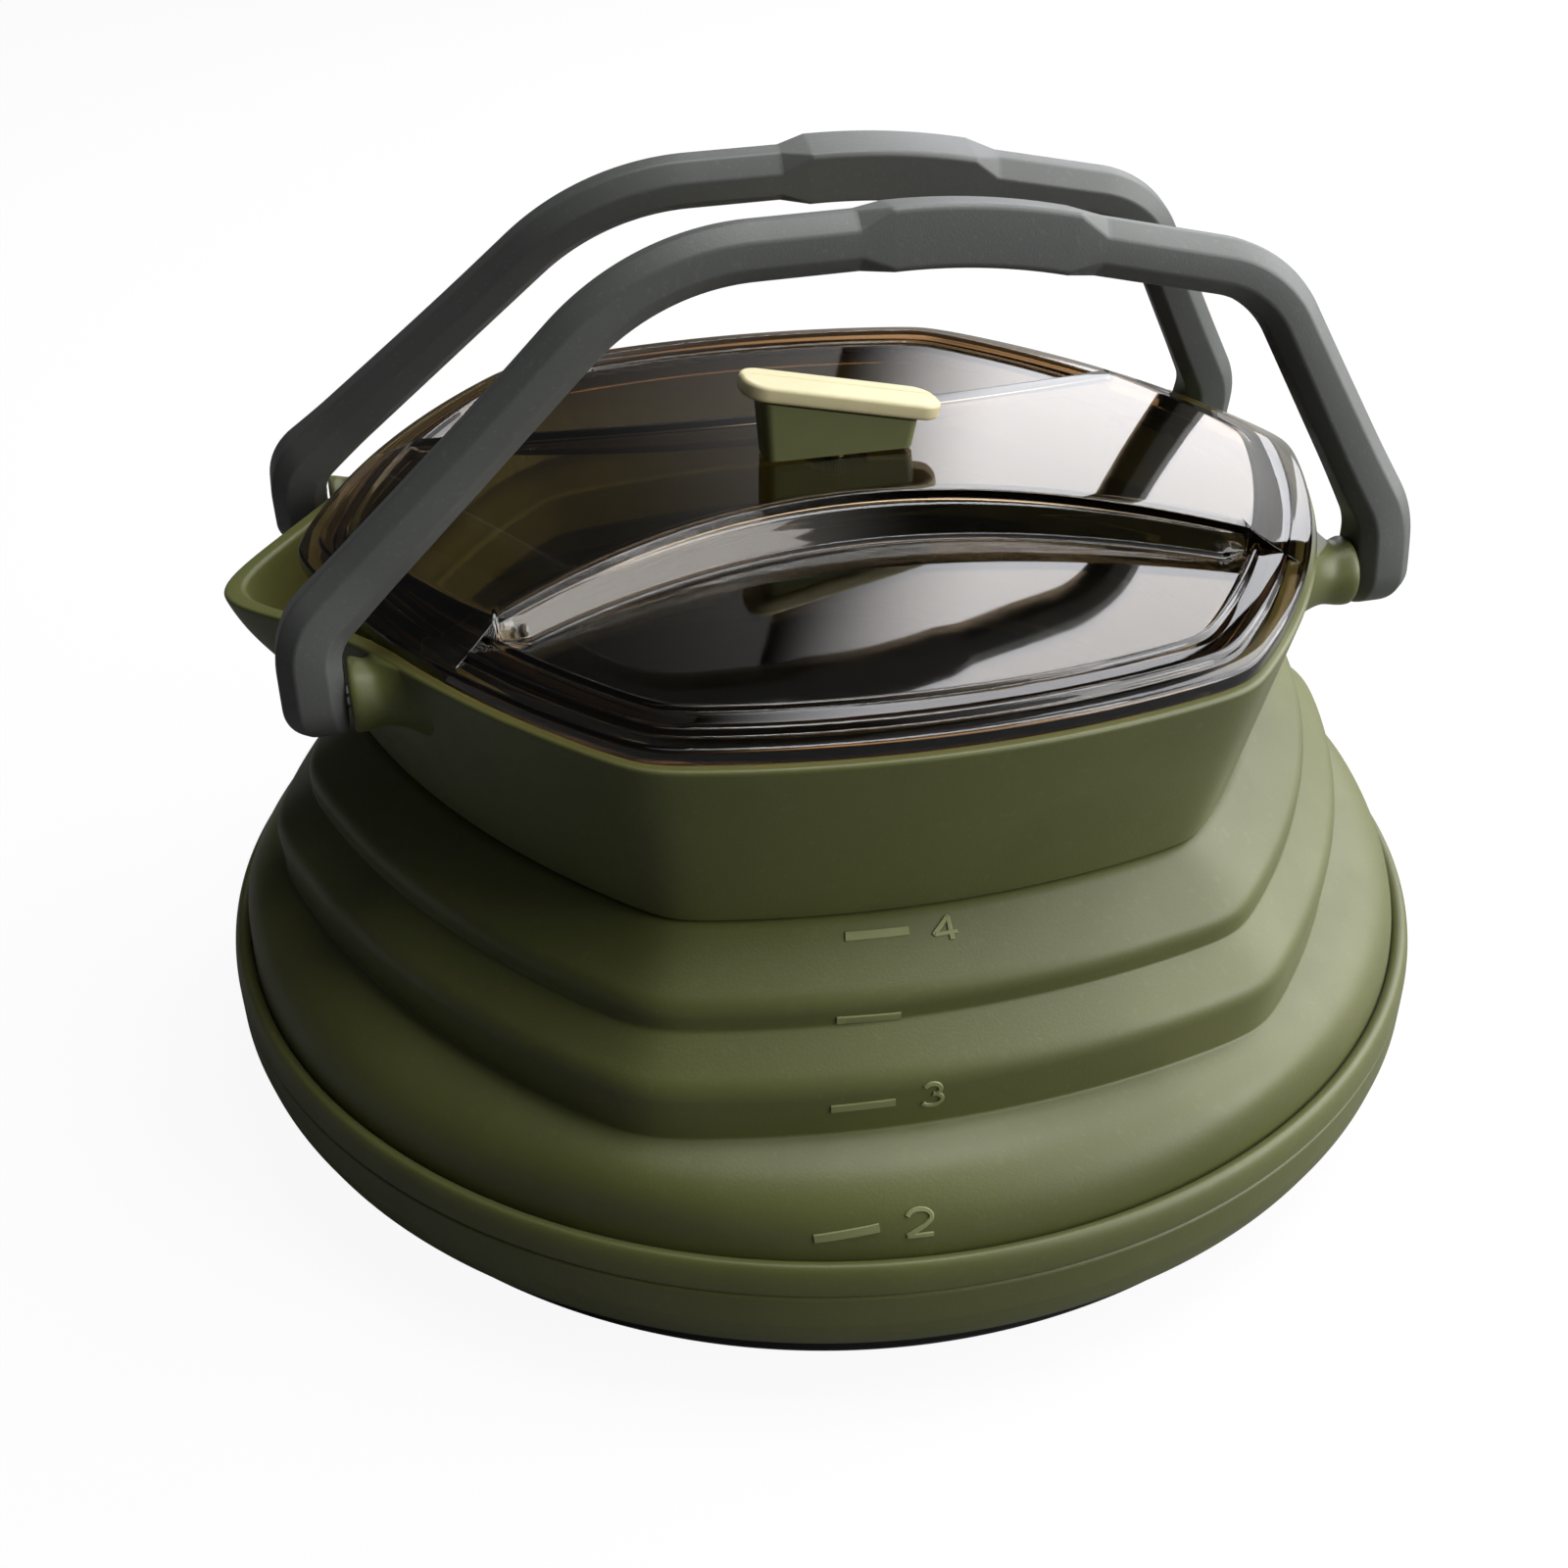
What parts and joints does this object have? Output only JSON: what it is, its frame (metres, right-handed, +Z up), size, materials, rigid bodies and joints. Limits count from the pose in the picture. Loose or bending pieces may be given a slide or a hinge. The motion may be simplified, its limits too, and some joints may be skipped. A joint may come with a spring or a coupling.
{
  "type": "collapsible kettle",
  "caption": "Camping kettle with a folding silicone wall on a flat metal pan, a hexagonal collar with a pouring spout, a smoked lid with a knob and two bail handles that fold down.",
  "frame": {"origin": "on the ground under the middle of the round pan", "axes": "+Z up; the spout points to -X; the front bail is on the -Y side, which faces the camera"},
  "size_m": [0.182, 0.182, 0.129],
  "materials": {
    "olive_silicone": "matt moulded silicone",
    "olive_plastic": "satin moulded",
    "anodised_pan": "hard anodised, satin black",
    "grey_nylon": "fine matt texture",
    "cream_plastic": "satin moulded",
    "smoked_plastic": "polished, see-through",
    "steel": "turned",
    "black_rubber": "matt"
  },
  "bodies": {
    "base": {"base_pan": "anodised_pan", "base_skirt": "olive_silicone", "base_bead": "olive_silicone", "bellows_wall": "olive_silicone"},
    "collar": {"collar_band": "olive_silicone", "rim_stiffener": "olive_plastic", "pivot_pin_front_spout_side": "steel", "pivot_pin_front_far_side": "steel", "pivot_pin_back_spout_side": "steel", "pivot_pin_back_far_side": "steel"},
    "front_handle": {"front_bail": "grey_nylon", "pivot_bushing_front_spout_side": "grey_nylon", "pivot_bushing_front_far_side": "grey_nylon"},
    "back_handle": {"back_bail": "grey_nylon", "pivot_bushing_back_spout_side": "grey_nylon", "pivot_bushing_back_far_side": "grey_nylon"},
    "lid": {"lid_panel": "smoked_plastic", "lid_gasket": "black_rubber", "knob_stem": "olive_plastic", "knob_grip": "cream_plastic", "knob_washer": "steel", "knob_screw": "steel"}
  },
  "joints": [
    {"name": "collapse", "type": "slide", "parent": "base", "child": "collar", "axis": [0, 0, 1], "range_m": [-0.045, 0], "deforming": ["bellows_wall"]},
    {"name": "lid_lift", "type": "slide", "parent": "collar", "child": "lid", "axis": [0, 0, 1], "range_m": [0, 0.0025]},
    {"name": "front_bail_swing", "type": "hinge", "parent": "collar", "child": "front_handle", "pos_m": [0, -0.029, 0.075], "axis": [1, 0, 0], "range_deg": [-12, 96]},
    {"name": "back_bail_swing", "type": "hinge", "parent": "collar", "child": "back_handle", "pos_m": [0, 0.029, 0.075], "axis": [-1, 0, 0], "range_deg": [-2, 106]}
  ]
}
